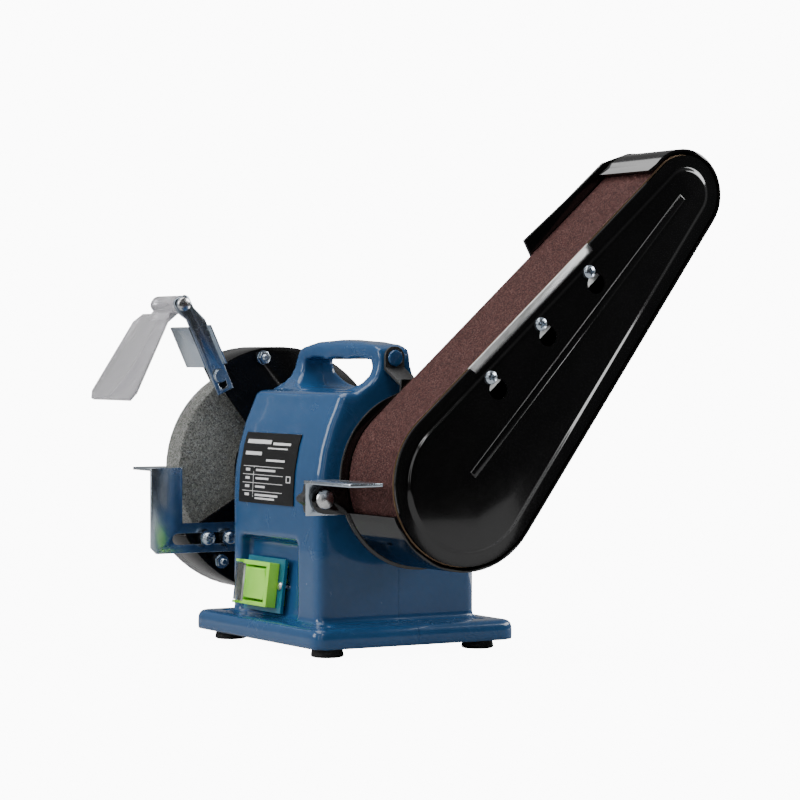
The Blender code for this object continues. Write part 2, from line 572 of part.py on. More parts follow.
def band(u0, u1, high, low):
    """A strip along the front run between two depths under the belt's outer face."""
    corners = ((u0, high), (u1, high), (u1, low), (u0, low))
    return [(u, front_line(u) - depth) for u, depth in corners]


platen = prism(band(PLATEN_U0, PLATEN_U1, 1.4, 3.0), PLATE_X1 + GAP, 135.0)
join(platen, prism(band(PLATEN_U0, PLATEN_U1, 0.2, 20.0), 133.9, 135.0))
join(platen, prism(band(PLATEN_U0, PLATEN_U1, 1.4, 16.0), PLATE_X1 + GAP, PLATE_X1 + GAP + 1.5))
for u, v in SCREWS:
    cut(platen, rod(130, 140, 2.3, u, v, 10))
node("platen", platen, ZINC, ARM, local=True)

# side cover with a raised panel and three keyholes
COVER = frame("cover_release", tilt=ARM_TILT)
side_cover = prism(loop(BELT_THICK, 5.0), COVER_X0, COVER_X1)
cut(side_cover, prism(band(PLATEN_U0 - 1, PLATEN_U1 + 1, -3, 5), 130, 140))
panel = prism(loop(-8.0, 5.0), COVER_X1 - 0.6, COVER_X1 + EMBOSS, edge=1.4, segments=1)
bead = box(COVER_X1 + EMBOSS - 0.5, COVER_X1 + EMBOSS + 0.9, 4, 226, 0.2, 2.6)
join(side_cover, panel, bead)
cut(side_cover, prism(loop(-10.0, 5.0), COVER_X0 - 2, COVER_X1 + EMBOSS - 1.2))
KEY_DROP = 8.6
for u, v in SCREWS:
    key_slot = arc(2.5, 0, 180, 30, (u, v)) + arc(2.5, 180, 360, 30, (u, v - 6.0))
    cut(side_cover, prism(key_slot, 130, 142), rod(130, 142, 6.0, u - 1.6, v - KEY_DROP, 20))
node("arm_side_cover", side_cover, BLACK, COVER, local=True)
for number, (u, v) in enumerate(SCREWS, 1):
    head = COVER_X1 + EMBOSS + GAP
    screw = [(126, 0), (126, 2.0), (head, 2.0), (head, 4.1), (head + 1.6, 3.7), (head + 2.4, 0)]
    node(f"cover_screw_{number}", turned(screw, u, v, 14), ZINC, ARM, local=True)

# hub that clamps the arm on the belt-side neck
hub_profile = [(62, 36.4), (62, 43), (77.0, 43), (77.0, 46), (PLATE_X0 - GAP, 46), (PLATE_X0 - GAP, 11),
               (NECK_RIGHT + 0.5, 11), (NECK_RIGHT + 0.5, 36.4)]
TO_CLAMP = at(69, 49, 0) @ UP
hub = join(turned(hub_profile, steps=40), box(62, 76, 40, 54, -6, 6))
cut(hub, box(61, 76.2, 30, 60, -1.0, 1.0), moved(rod(-12, 12, 3.3, steps=12), TO_CLAMP))
node("arm_hub", hub, MATT, ARM, local=True)
clamp = turned([(-9.5, 0), (-9.5, 3.0), (6.3, 3.0), (6.3, 5.0), (10.3, 5.0), (10.3, 0)], steps=12)
node("arm_clamp_bolt", moved(clamp, TO_CLAMP), ZINC, ARM, local=True)

# stay from the back plate to the end of the handle
STAY_SCREW = (-4.0, 176.0)
path = [(58.0, 183.0), (60.0, 183.0), (60.0, 170.5), (79.7, 160.5), (79.7, 151.5), (77.7, 151.5), (77.7, 159.2),
        (58.0, 169.2)]
stay = cut(prism(path, -10.6, 2.4, "Y"), rod(50, 66, 4.4, *STAY_SCREW, 16))
rivet = [(79, 0), (79, 2.0), (PLATE_X1 + GAP, 2.0), (PLATE_X1 + GAP, 3.6), (83.2, 3.0), (83.2, 0)]
node("arm_stay", join(stay, turned(rivet, *STAY_RIVET, 12)), MATT, ARM)
screw = [(57.9, 0), (57.9, 4.0), (60.3, 4.0), (60.3, 5.2), (61.6, 4.4), (61.6, 0)]
node("stay_screw", turned(screw, *STAY_SCREW, 16), BLUE, ARM)

# ---------------------------------------------------------------- idler on its spring slide
def arm_frame(name, u):
    """A frame on the arm's middle line, turned with the arm."""
    return frame(name, y=u * math.cos(ARM_TILT), z=SHAFT_Z + u * math.sin(ARM_TILT), tilt=ARM_TILT)


def coil_spring(name, x, u0, u1, radius, wire, turns, sides=10):
    """A wire coil along the arm, round a line at this x."""
    curve = bpy.data.curves.new(name, "CURVE")
    curve.dimensions = "3D"
    curve.bevel_depth = wire * MM
    curve.bevel_resolution = 1
    curve.use_fill_caps = True
    count = turns * sides
    line = curve.splines.new("POLY")
    line.points.add(count)
    for i in range(count + 1):
        a = math.tau * i / sides
        u = u0 + (u1 - u0) * i / count
        point = Vector((x + radius * math.cos(a), u, radius * math.sin(a))) * MM
        line.points[i].co = (*point, 1.0)
    obj = bpy.data.objects.new(name, curve)
    bpy.context.scene.collection.objects.link(obj)
    obj.data.materials.append(STEEL)
    obj.parent = ARM


def lobed(radius, depth, lobes, steps):
    """Outline of a hand knob."""
    points = []
    for i in range(steps):
        a = math.tau * i / steps
        r = radius - depth * (0.5 + 0.5 * math.cos(lobes * a))
        points.append((r * math.cos(a), r * math.sin(a)))
    return points


TENSION = arm_frame("tension_slide", REACH)
slide = box(76.4, 79.7, -60, 14, -14, 14)
guide_slots = [prism(slot(2.9, (-52, v), (-52 + SLIDE_TRAVEL, v)), 70, 90) for v in (9.0, -9.0)]
cut(slide, rod(70, 90, 4.3, 0, 0, 14), *guide_slots, rod(70, 90, 3.3, -30, 0, 12))
join(slide, box(68.5, 77.5, -60, -57.5, -7, 7))
node("tension_plate", slide, ZINC, TENSION, local=True)
guide = [(74.4, 0), (74.4, 5.0), (76.1, 5.0), (76.1, 2.1), (82.3, 2.1), (82.3, 4.6), (84.0, 4.0), (84.0, 0)]
for number, (u, v) in enumerate(GUIDES, 1):
    node(f"slide_guide_{number}", turned(guide, u, v, 12), ZINC, ARM, local=True)
axle = [(72.5, 0), (72.5, 5.6), (76.1, 5.6), (76.1, 4.0), (133.2, 4.0), (133.2, 0)]
node("idler_axle", turned(axle, steps=16), STEEL, TENSION, local=True)
coil_spring("tension_spring", 72.6, REACH - 96.3, REACH - 61.2, 3.6, 0.6, 8)
KNOB = arm_frame("tracking_knob_axis", REACH - 30)
tracking = prism(lobed(10.0, 1.6, 8, 48), 63.0, 74.5, edge=1.0, segments=1)
node("tracking_knob", join(tracking, rod(72, 79.4, 3.0, steps=12)), PLASTIC, KNOB, local=True)
IDLER = arm_frame("idler_axis", REACH)
roller = [(84.5, 11.3), (84.5, 21.6), (86, 22.2), (131, 22.2), (132.5, 21.6), (132.5, 11.3), (125, 11.3), (125, 8),
          (92, 8), (92, 11.3)]
node("idler_roller", turned(roller, steps=36), CAST, IDLER, local=True)
bearings = [(84.7, 4.3), (84.7, 11.0), (91.7, 11.0), (91.7, 6.5), (125.3, 6.5), (125.3, 11.0), (132.3, 11.0),
            (132.3, 4.3)]
node("idler_bearings", turned(bearings, steps=24), STEEL, IDLER, local=True)

# ---------------------------------------------------------------- belt tool rest
BELT_REST = frame("belt_rest_slide", x=78.7, y=BOLT_Y, z=BOLT_Z)
belt_rest = box(77.7, 134, -76.2, -53.9, 103.3, 105.3, upright=1.5, segments=2)
join(belt_rest, box(77.7, 79.7, -74.5, -53.9, 84.5, 104))
rest_slot = slot(3.1, (BOLT_Y, BOLT_Z), (BOLT_Y + 6, BOLT_Z))
node("belt_rest", cut(belt_rest, prism(rest_slot, 70, 90)), ZINC, BELT_REST)
bolt = [(66.0, 0), (66.0, 2.6), (82.3, 2.6), (82.3, 6.2), (84.0, 5.4), (85.4, 3.2), (85.9, 0)]
node("belt_rest_bolt", turned(bolt, BOLT_Y, BOLT_Z, 18), STEEL, ARM)
REST_KNOB = frame("rest_knob_axis", x=70.0, y=BOLT_Y, z=BOLT_Z)
wing = join(prism(lobed(9.5, 3.0, 5, 40), 63.2, 73.5, edge=1.0, segments=1), rod(72, 77.4, 6.0, steps=16))
moved(cut(wing, rod(65.5, 80, 2.9, steps=12)), at(0, BOLT_Y, BOLT_Z))
node("belt_rest_knob", wing, PLASTIC, REST_KNOB)

# ---------------------------------------------------------------- origin under the middle of the whole object
for obj in list(bpy.data.objects):
    if obj.parent is None:
        obj.matrix_world = Matrix.Translation(Vector((-MIDDLE_X, -MIDDLE_Y, 0)) * MM) @ obj.matrix_world
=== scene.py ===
# %% [markdown]
# # A bench belt grinder
# The machine is a motor in a cast blue stand. Its shaft turns a grinding wheel on the left and, on the right,
# the drum that drives an abrasive belt. The belt runs up a black steel arm that tilts about the shaft. The
# CAD frame gives every piece its size and place. This script gives the pieces their finished surfaces.

# %% Load the frame
import json
import math

import bmesh
import bpy
from mathutils import Matrix, Vector
from mathutils.bvhtree import BVHTree


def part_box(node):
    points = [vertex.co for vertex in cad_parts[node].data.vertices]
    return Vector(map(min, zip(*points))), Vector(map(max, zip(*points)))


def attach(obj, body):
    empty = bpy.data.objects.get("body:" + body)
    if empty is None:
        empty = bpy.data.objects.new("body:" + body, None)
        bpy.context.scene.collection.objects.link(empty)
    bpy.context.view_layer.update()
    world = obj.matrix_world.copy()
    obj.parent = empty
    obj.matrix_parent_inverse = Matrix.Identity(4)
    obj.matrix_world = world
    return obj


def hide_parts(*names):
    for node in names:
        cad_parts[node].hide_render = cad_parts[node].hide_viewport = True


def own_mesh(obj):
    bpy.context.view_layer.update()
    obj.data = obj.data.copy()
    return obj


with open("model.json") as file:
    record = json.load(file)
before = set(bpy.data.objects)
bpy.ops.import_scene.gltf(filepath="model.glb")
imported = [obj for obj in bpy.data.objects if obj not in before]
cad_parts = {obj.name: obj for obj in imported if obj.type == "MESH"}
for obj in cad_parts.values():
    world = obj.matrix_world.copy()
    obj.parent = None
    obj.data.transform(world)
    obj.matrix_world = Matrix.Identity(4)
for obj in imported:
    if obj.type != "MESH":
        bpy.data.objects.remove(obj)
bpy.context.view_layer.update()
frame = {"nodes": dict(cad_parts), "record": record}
nodes = frame["nodes"]
MM = 0.001

# %% [markdown]
# ## Places read from the frame
# Nothing is placed by eye. The middle of a node's box gives the shaft, the top roller and so the arm's tilt.
# Pieces are drawn in millimetres, either about the middle of the base or about the shaft with u up the arm.


# %% Middle of the base, the shaft and the arm
def middle(name):
    low, high = (Vector(corner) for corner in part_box(name))
    return (low + high) / 2


base_middle = middle("base_plate")
base_middle.z = 0.0
shaft = middle("motor_shaft")
roller = middle("idler_roller")
reach = (roller - Vector((roller.x, shaft.y, shaft.z))).length / MM
tilt = math.atan2(roller.z - shaft.z, roller.y - shaft.y)
BASE = Matrix.Translation(base_middle) @ Matrix.Scale(MM, 4)
AT_SHAFT = Matrix.Translation(Vector((base_middle.x, shaft.y, shaft.z))) @ Matrix.Scale(MM, 4)
ARM = AT_SHAFT @ Matrix.Rotation(tilt, 4, "X")
print(f"shaft {shaft.z / MM:.1f} mm up, arm {math.degrees(tilt):.1f} degrees, rollers {reach:.1f} mm apart")

# %% [markdown]
# ## Camera
# A long lens from the right front, a little above the middle of the machine, keeps the upright edges upright.

# %% Camera
CAMERA_OFFSET = Vector((1.5294, -0.8555, 0.1816))
CAMERA_YAW, CAMERA_DOWN = math.radians(59.81), math.radians(1.033)
CAMERA_LENS = 127.83
camera_data = bpy.data.cameras.new("camera")
camera_data.lens = CAMERA_LENS
camera = bpy.data.objects.new("camera", camera_data)
bpy.context.scene.collection.objects.link(camera)
camera.location = base_middle + CAMERA_OFFSET
camera.rotation_euler = (math.pi / 2 - CAMERA_DOWN, 0.0, CAMERA_YAW)
bpy.context.scene.camera = camera
print("camera", [round(value, 3) for value in camera.location])

# %% [markdown]
# ## Studio
# The floor and the room are white to the camera, and soft boxes give the enamel its long highlights. What
# the machine itself sees of the room darkens towards the belt side, so the black cover stays black and only
# its edges catch light.


# %% Floor, room and soft boxes
FLOOR_HALF, FLOOR_GREY, FLOOR_GLOW = 0.85, 0.42, 10.3
ROOM_SEEN, ROOM_FELT = 11.0, 0.30
DARK_FROM, DARK_TO, DARKEST = -0.1, 0.95, 0.04
# name: size, place and aim in metres from the middle of the base, watts
SOFT_BOXES = {
    "overhead": ((1.6, 1.2), (-0.15, -0.25, 1.5), (0, 0.05, 0.1), 24),
    "key_left_front": ((0.9, 1.2), (-0.6, -1.7, 0.9), (0, 0, 0.12), 26),
    "fill_right_front": ((0.5, 1.3), (1.7, -1.25, 0.75), (0, 0.05, 0.15), 3),
    "rim_back": ((1.4, 0.6), (0.55, 1.4, 0.9), (0.1, 0.3, 0.1), 26),
    "edge_upper_right": ((0.25, 0.5), (1.5, -0.65, 1.45), (0.1, 0.05, 0.15), 5),
    "table_back": ((0.36, 0.35), (0.27, 0.64, 0.004), (0.27, 0.64, 1.0), 2.5),
    "strip_front": ((0.10, 1.3), (0.95, -1.70, 0.75), (0, 0, 0.15), 2.5),
}


def soft_box(name, size, place, aim, power):
    """A lamp that lights and reflects but isn't seen itself."""
    light = bpy.data.lights.new(name, "AREA")
    light.shape = "RECTANGLE"
    light.size, light.size_y = size
    light.energy = power
    lamp = bpy.data.objects.new(name, light)
    bpy.context.scene.collection.objects.link(lamp)
    lamp.location = base_middle + Vector(place)
    lamp.rotation_euler = (base_middle + Vector(aim) - lamp.location).to_track_quat("-Z", "Y").to_euler()
    lamp.visible_camera = False


def flat_floor(half):
    """A white sheet under the machine that looks pure white to the camera, so it has no visible edge."""
    bm = bmesh.new()
    bmesh.ops.create_circle(bm, cap_ends=True, segments=64, radius=half,
                            matrix=Matrix.Translation(base_middle))
    mesh = bpy.data.meshes.new("floor")
    bm.to_mesh(mesh)
    bm.free()
    floor = bpy.data.objects.new("floor", mesh)
    bpy.context.scene.collection.objects.link(floor)
    paint = bpy.data.materials.new("floor_white")
    paint.use_nodes = True
    tree = paint.node_tree
    shader = tree.nodes["Principled BSDF"]
    shader.inputs["Base Color"].default_value = (FLOOR_GREY, FLOOR_GREY, FLOOR_GREY, 1)
    shader.inputs["Roughness"].default_value = 0.8
    shader.inputs["Emission Color"].default_value = (1, 1, 1, 1)
    ray = tree.nodes.new("ShaderNodeLightPath")
    glow = tree.nodes.new("ShaderNodeMath")
    glow.operation = "MULTIPLY"
    glow.inputs[1].default_value = FLOOR_GLOW
    tree.links.new(ray.outputs["Is Camera Ray"], glow.inputs[0])
    tree.links.new(glow.outputs[0], shader.inputs["Emission Strength"])
    mesh.materials.append(paint)
    return floor


def white_room():
    """A world that is white behind the machine and shaded from left to right in its reflections."""
    room = bpy.context.scene.world or bpy.data.worlds.new("room")
    bpy.context.scene.world = room
    room.use_nodes = True
    tree = room.node_tree
    tree.nodes.clear()
    ray = tree.nodes.new("ShaderNodeLightPath")
    seen = tree.nodes.new("ShaderNodeBackground")
    seen.inputs["Color"].default_value = (1, 1, 1, 1)
    seen.inputs["Strength"].default_value = ROOM_SEEN
    felt = tree.nodes.new("ShaderNodeBackground")
    felt.inputs["Strength"].default_value = ROOM_FELT
    spot = tree.nodes.new("ShaderNodeTexCoord")
    split = tree.nodes.new("ShaderNodeSeparateXYZ")
    tree.links.new(spot.outputs["Generated"], split.inputs[0])
    shade = tree.nodes.new("ShaderNodeMapRange")
    shade.inputs["From Min"].default_value = DARK_FROM
    shade.inputs["From Max"].default_value = DARK_TO
    shade.inputs["To Min"].default_value = 1.0
    shade.inputs["To Max"].default_value = DARKEST
    tree.links.new(split.outputs["X"], shade.inputs["Value"])
    tree.links.new(shade.outputs["Result"], felt.inputs["Color"])
    blend = tree.nodes.new("ShaderNodeMixShader")
    out = tree.nodes.new("ShaderNodeOutputWorld")
    tree.links.new(ray.outputs["Is Camera Ray"], blend.inputs["Fac"])
    tree.links.new(felt.outputs[0], blend.inputs[1])
    tree.links.new(seen.outputs[0], blend.inputs[2])
    tree.links.new(blend.outputs[0], out.inputs["Surface"])


flat_floor(FLOOR_HALF)
for name, (size, place, aim, power) in SOFT_BOXES.items():
    soft_box(name, size, place, aim, power)
white_room()
print(len(SOFT_BOXES), "soft boxes round a white floor")

# %% [markdown]
# ## Shader groups
# Most finishes need the same few effects: a fine unevenness in the height of the skin, smudges that change
# the gloss, and crushed grains. Each is a node group with its own scale, so that one change mends them all.


# %% Node helpers
FLOAT = "NodeSocketFloat"


def add(tree, kind, links=(), **values):
    """A node with some inputs set and some linked; a value's name is the input's, with _ for a space."""
    made = tree.nodes.new(kind)
    for name, value in values.items():
        if hasattr(made, name):
            setattr(made, name, value)
        else:
            made.inputs[name.replace("_", " ")].default_value = value
    for name, socket in dict(links).items():
        tree.links.new(socket, made.inputs[name])
    return made


def new_group(name, numbers, outputs):
    """An empty group that takes a position and some numbers, and its input and output nodes."""
    group = bpy.data.node_groups.new(name, "ShaderNodeTree")
    group.interface.new_socket("Position", in_out="INPUT", socket_type="NodeSocketVector")
    for label, value in numbers.items():
        socket = group.interface.new_socket(label, in_out="INPUT", socket_type=FLOAT)
        socket.default_value = value
    for label, kind in outputs.items():
        group.interface.new_socket(label, in_out="OUTPUT", socket_type=kind)
    return group, group.nodes.new("NodeGroupInput"), group.nodes.new("NodeGroupOutput")


# %% Skin, smudges and grains
def skin_group():
    """Height of a sprayed or cast surface: slow waves under a fine peel."""
    numbers = {"Wave Scale": 60.0, "Peel Scale": 900.0, "Peel": 0.3}
    group, given, result = new_group("skin", numbers, {"Height": FLOAT})
    waves = add(group, "ShaderNodeTexNoise", Detail=2.0)
    peel = add(group, "ShaderNodeTexNoise", Detail=3.0)
    group.links.new(given.outputs["Position"], waves.inputs["Vector"])
    group.links.new(given.outputs["Wave Scale"], waves.inputs["Scale"])
    group.links.new(given.outputs["Position"], peel.inputs["Vector"])
    group.links.new(given.outputs["Peel Scale"], peel.inputs["Scale"])
    weigh = add(group, "ShaderNodeMath", operation="MULTIPLY",
                links={0: peel.outputs["Fac"], 1: given.outputs["Peel"]})
    total = add(group, "ShaderNodeMath", operation="ADD",
                links={0: waves.outputs["Fac"], 1: weigh.outputs[0]})
    group.links.new(total.outputs[0], result.inputs["Height"])
    return group


def smudge_group():
    """A value that wanders about a base one, as gloss does where hands and dust have been."""
    numbers = {"Scale": 35.0, "Base": 0.3, "Spread": 0.15}
    group, given, result = new_group("smudges", numbers, {"Value": FLOAT, "Mask": FLOAT})
    cloud = add(group, "ShaderNodeTexNoise", Detail=7.0, Roughness=0.65, Distortion=0.8)
    group.links.new(given.outputs["Position"], cloud.inputs["Vector"])
    group.links.new(given.outputs["Scale"], cloud.inputs["Scale"])
    sharpen = add(group, "ShaderNodeMapRange", From_Min=0.42, From_Max=0.72,
                  links={"Value": cloud.outputs["Fac"]})
    swing = add(group, "ShaderNodeMath", operation="MULTIPLY",
                links={0: sharpen.outputs["Result"], 1: given.outputs["Spread"]})
    total = add(group, "ShaderNodeMath", operation="ADD",
                links={0: swing.outputs[0], 1: given.outputs["Base"]})
    group.links.new(total.outputs[0], result.inputs["Value"])
    group.links.new(sharpen.outputs["Result"], result.inputs["Mask"])
    return group


def grain_group():
    """Crushed grains: each cell has its own shade and stands a little higher or lower; a few cells carry a
    painted glint.
    """
    outputs = {"Shade": FLOAT, "Height": FLOAT, "Painted Glint": FLOAT}
    group, given, result = new_group("grains", {"Scale": 900.0}, outputs)
    cells = add(group, "ShaderNodeTexVoronoi", feature="F1")
    group.links.new(given.outputs["Position"], cells.inputs["Vector"])
    group.links.new(given.outputs["Scale"], cells.inputs["Scale"])
    own = add(group, "ShaderNodeSeparateColor", links={0: cells.outputs["Color"]})
    # Painted glint: a mask for the few cells that get a pale colour in place of a highlight.
    painted_glint = add(group, "ShaderNodeMapRange", From_Min=0.80, From_Max=0.97,
                links={"Value": own.outputs["Green"]})
    dome = add(group, "ShaderNodeMath", operation="SUBTRACT",
               links={0: own.outputs["Blue"], 1: cells.outputs["Distance"]})
    group.links.new(own.outputs["Red"], result.inputs["Shade"])
    group.links.new(dome.outputs[0], result.inputs["Height"])
    group.links.new(painted_glint.outputs["Result"], result.inputs["Painted Glint"])
    return group


SKIN, SMUDGES, GRAINS = skin_group(), smudge_group(), grain_group()
print("groups:", SKIN.name, SMUDGES.name, GRAINS.name)

# %% [markdown]
# ## Finishes
# Enamel is a dyed skin under a clear coat. Its gloss wanders, and its skin is not flat, which is what tells
# sprayed castings from plastic. Bare metal carries its colour in the reflection, so only the roughness and a
# faint tint change. Abrasives are grains in a dull bond.


# %% One material builder
SKIN_DEPTH, GRAIN_DEPTH = 0.4 * MM, 0.3 * MM


def finish(name, colour, roughness, metallic=0.0, coat=0.0, sockets=()):
    """A material with a Principled shader, and what the effects plug into."""
    made = bpy.data.materials.new(name)
    made.use_nodes = True
    made.diffuse_color = (*colour, 1.0)
    tree = made.node_tree
    shader = tree.nodes["Principled BSDF"]
    shader.inputs["Base Color"].default_value = (*colour, 1.0)
    shader.inputs["Roughness"].default_value = roughness
    shader.inputs["Metallic"].default_value = metallic
    shader.inputs["Coat Weight"].default_value = coat
    for label, value in dict(sockets).items():
        shader.inputs[label].default_value = value
    where = tree.nodes.new("ShaderNodeTexCoord").outputs["Object"]
    return made, tree, shader, where


def group_node(tree, group, where, **values):
    """A group placed in a material, fed with the position and its numbers."""
    made = tree.nodes.new("ShaderNodeGroup")
    made.node_tree = group
    tree.links.new(where, made.inputs["Position"])
    for label, value in values.items():
        made.inputs[label.replace("_", " ")].default_value = value
    return made


def bump(tree, shader, height, strength, distance):
    """The height bends the normal of the shader; distance is in metres."""
    made = add(tree, "ShaderNodeBump", Strength=strength, Distance=distance, links={"Height": height})
    tree.links.new(made.outputs["Normal"], shader.inputs["Normal"])


def two_tone(tree, shader, mask, dark, light):
    """Base colour that goes from dark to light as the mask does."""
    mixed = add(tree, "ShaderNodeMix", data_type="RGBA")
    mixed.inputs[6].default_value = (*dark, 1.0)
    mixed.inputs[7].default_value = (*light, 1.0)
    tree.links.new(mask, mixed.inputs[0])
    tree.links.new(mixed.outputs[2], shader.inputs["Base Color"])
    return mixed


# %% Enamels and plastics
def skinned(name, colours, roughness, spread, peel, strength, coat=0.0, metallic=0.0, scale=35.0, sockets=()):
    """Paint, plastic or rubber: wandering gloss, a slight change of shade and an uneven skin."""
    made, tree, shader, where = finish(name, colours[0], roughness, metallic, coat, sockets)
    smudge = group_node(tree, SMUDGES, where, Scale=scale, Base=roughness, Spread=spread)
    tree.links.new(smudge.outputs["Value"], shader.inputs["Roughness"])
    two_tone(tree, shader, smudge.outputs["Mask"], *colours)
    skin = group_node(tree, SKIN, where, Peel=peel)
    bump(tree, shader, skin.outputs["Height"], strength, SKIN_DEPTH)
    return made


FINISH = {
    "blue_enamel": skinned(
        "blue_enamel", ((0.014, 0.067, 0.174), (0.016, 0.073, 0.186)), 0.24, 0.05, 0.15, 0.03,
        coat=0.6, sockets={"Coat Roughness": 0.03, "Specular IOR Level": 0.22}),
    "black_enamel": skinned(
        "black_enamel", ((0.0018, 0.0018, 0.0020), (0.0024, 0.0024, 0.0026)), 0.10, 0.04, 0.25, 0.02,
        coat=0.4, sockets={"Coat Roughness": 0.05}),
    "guard_black": skinned(
        "guard_black", ((0.0020, 0.0020, 0.0022), (0.0028, 0.0028, 0.0030)), 0.22, 0.08, 0.3, 0.05,
        sockets={"Specular IOR Level": 0.22}),
    "matt_black": skinned(
        "matt_black", ((0.011, 0.011, 0.011), (0.018, 0.018, 0.018)), 0.50, 0.15, 0.9, 0.5),
    "black_rubber": skinned(
        "black_rubber", ((0.010, 0.010, 0.010), (0.020, 0.020, 0.019)), 0.72, 0.15, 1.0, 0.5),
    "black_plastic": skinned(
        "black_plastic", ((0.012, 0.012, 0.013), (0.017, 0.017, 0.018)), 0.38, 0.12, 0.8, 0.4),
    "green_plastic": skinned(
        "green_plastic", ((0.36, 0.88, 0.07), (0.40, 0.92, 0.09)), 0.28, 0.10, 0.3, 0.15),
    "switch_plate_blue": skinned(
        "switch_plate_blue", ((0.010, 0.125, 0.200), (0.013, 0.150, 0.235)), 0.30, 0.12, 0.5, 0.2),
    "label_black": skinned(
        "label_black", ((0.0022, 0.0022, 0.0024), (0.003, 0.003, 0.0033)), 0.35, 0.06, 0.2, 0.03,
        sockets={"Specular IOR Level": 0.3}),
    "ink": skinned("ink", ((0.70, 0.70, 0.70), (0.78, 0.78, 0.78)), 0.45, 0.08, 0.2, 0.05),
}
print(len(FINISH), "painted and moulded finishes")


# %% Bare metals
def metal(name, colours, roughness, spread, strength, scale=35.0):
    """Bare or plated metal, whose colour is in its reflection."""
    return skinned(name, colours, roughness, spread, 0.8, strength, metallic=1.0, scale=scale)


METALS = {
    "zinc_plate": (((0.50, 0.57, 0.65), (0.58, 0.63, 0.68)), 0.24, 0.05, 0.02, 70.0),
    "bright_steel": (((0.60, 0.60, 0.61), (0.70, 0.70, 0.70)), 0.18, 0.16, 0.10, 60.0),
    "cast_aluminium": (((0.58, 0.58, 0.59), (0.66, 0.66, 0.67)), 0.36, 0.18, 0.5),
    "motor_laminations": (((0.20, 0.20, 0.21), (0.26, 0.25, 0.24)), 0.42, 0.2, 0.4),
    "copper_winding": (((0.52, 0.21, 0.09), (0.66, 0.30, 0.14)), 0.34, 0.2, 0.6, 120.0),
    "rubbed_zinc": (((0.78, 0.79, 0.79), (0.86, 0.86, 0.85)), 0.46, 0.12, 0.10, 90.0),
}
for name, numbers in METALS.items():
    FINISH[name] = metal(name, *numbers)
print(len(METALS), "bare metals")


# %% Abrasives
FINER = 2.3


def abrasive(name, dark, light, painted_glint, scale, strength, roughness):
    """Grains of mixed shade in a bond, with a painted glint: a few grains get a pale colour that stands in
    for their highlights.
    """
    made, tree, shader, where = finish(name, dark, roughness, sockets={"Specular IOR Level": 0.2})
    coarse = group_node(tree, GRAINS, where, Scale=scale)
    fine = group_node(tree, GRAINS, where, Scale=scale * FINER)
    base = two_tone(tree, shader, coarse.outputs["Shade"], dark, light)
    # Painted glint: the pale colour is mixed into the base colour on a few fine grains, standing in for their
    # highlights.
    lit = add(tree, "ShaderNodeMix", data_type="RGBA")
    lit.inputs[7].default_value = (*painted_glint, 1.0)
    tree.links.new(fine.outputs["Painted Glint"], lit.inputs[0])
    tree.links.new(base.outputs[2], lit.inputs[6])
    tree.links.new(lit.outputs[2], shader.inputs["Base Color"])
    rise = add(tree, "ShaderNodeMath", operation="ADD",
               links={0: coarse.outputs["Height"], 1: fine.outputs["Height"]})
    bump(tree, shader, rise.outputs[0], strength, GRAIN_DEPTH)
    return made


# The third colour of each abrasive is its painted glint, a pale colour for the highlights on a few grains.
FINISH["grey_abrasive_stone"] = abrasive(
    "grey_abrasive_stone", (0.092, 0.093, 0.084), (0.27, 0.27, 0.25), (0.50, 0.52, 0.50), 1150.0, 0.6, 0.85)
FINISH["brown_abrasive_cloth"] = abrasive(
    "brown_abrasive_cloth", (0.014, 0.0036, 0.0032), (0.058, 0.0160, 0.0140), (0.26, 0.13, 0.115), 1500.0,
    0.5, 0.80)
backing, backing_tree, backing_shader, backing_where = finish("belt_backing", (0.26, 0.17, 0.10), 0.85)
backing_weave = group_node(backing_tree, SKIN, backing_where, Wave_Scale=700.0, Peel_Scale=1600.0, Peel=0.6)
bump(backing_tree, backing_shader, backing_weave.outputs["Height"], 0.5, GRAIN_DEPTH)
print("stone, grit and belt backing")

# %% Clear plastics
clear, clear_tree, clear_shader, clear_where = finish(
    "smoky_clear_plastic", (0.93, 0.92, 0.95), 0.10, 0.0, 0.0,
    {"Transmission Weight": 0.82, "IOR": 1.25, "Specular IOR Level": 0.6})
scuffs = group_node(clear_tree, SMUDGES, clear_where, Scale=60.0, Base=0.05, Spread=0.16)
clear_tree.links.new(scuffs.outputs["Value"], clear_shader.inputs["Roughness"])
FINISH["smoky_clear_plastic"] = clear
hood_clear, hood_tree, hood_shader, hood_where = finish(
    "hood_clear", (0.93, 0.98, 0.93), 0.03, 0.0, 0.0, {"Transmission Weight": 0.96, "IOR": 1.14})
hood_haze = group_node(hood_tree, SMUDGES, hood_where, Scale=120.0, Base=0.02, Spread=0.08)
hood_tree.links.new(hood_haze.outputs["Value"], hood_shader.inputs["Roughness"])
print("shield and hood plastics")

# %% Paint the nodes
slot_of = {}
for part in frame["record"]["subparts"]:
    slot_of[part["node"]] = part["material_slot"]
    for holder in nodes[part["node"]].material_slots:
        holder.material = FINISH[part["material_slot"]]
print(len(slot_of), "nodes painted")

# %% [markdown]
# ## Putting a piece in its place
# A finished piece's mesh holds its place, so its object stays at the origin. It rides on the body of the node
# it stands for, and takes that node's finish.


# %% Helpers for pieces
body_of = {}
for body, members in frame["record"]["behaviour"]["bodies"].items():
    for member in members:
        body_of[member] = body


def piece(name, bm, material, body, stands_for=(), angle=35.0):
    """An object from a bmesh that is already in place, in metres."""
    mesh = bpy.data.meshes.new(name)
    bm.to_mesh(mesh)
    bm.free()
    mesh.shade_smooth()
    mesh.set_sharp_from_angle(angle=math.radians(angle))
    obj = bpy.data.objects.new(name, mesh)
    bpy.context.scene.collection.objects.link(obj)
    mesh.materials.append(FINISH[material] if isinstance(material, str) else material)
    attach(obj, body)
    if stands_for:
        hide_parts(*stands_for)
    return obj


def for_node(name, bm, angle=35.0, material=None):
    """A piece that stands for one node: same body and, unless another is given, same finish."""
    slot = slot_of[name]
    return piece(name + "_made", bm, material or slot, body_of[name], (name,), angle)


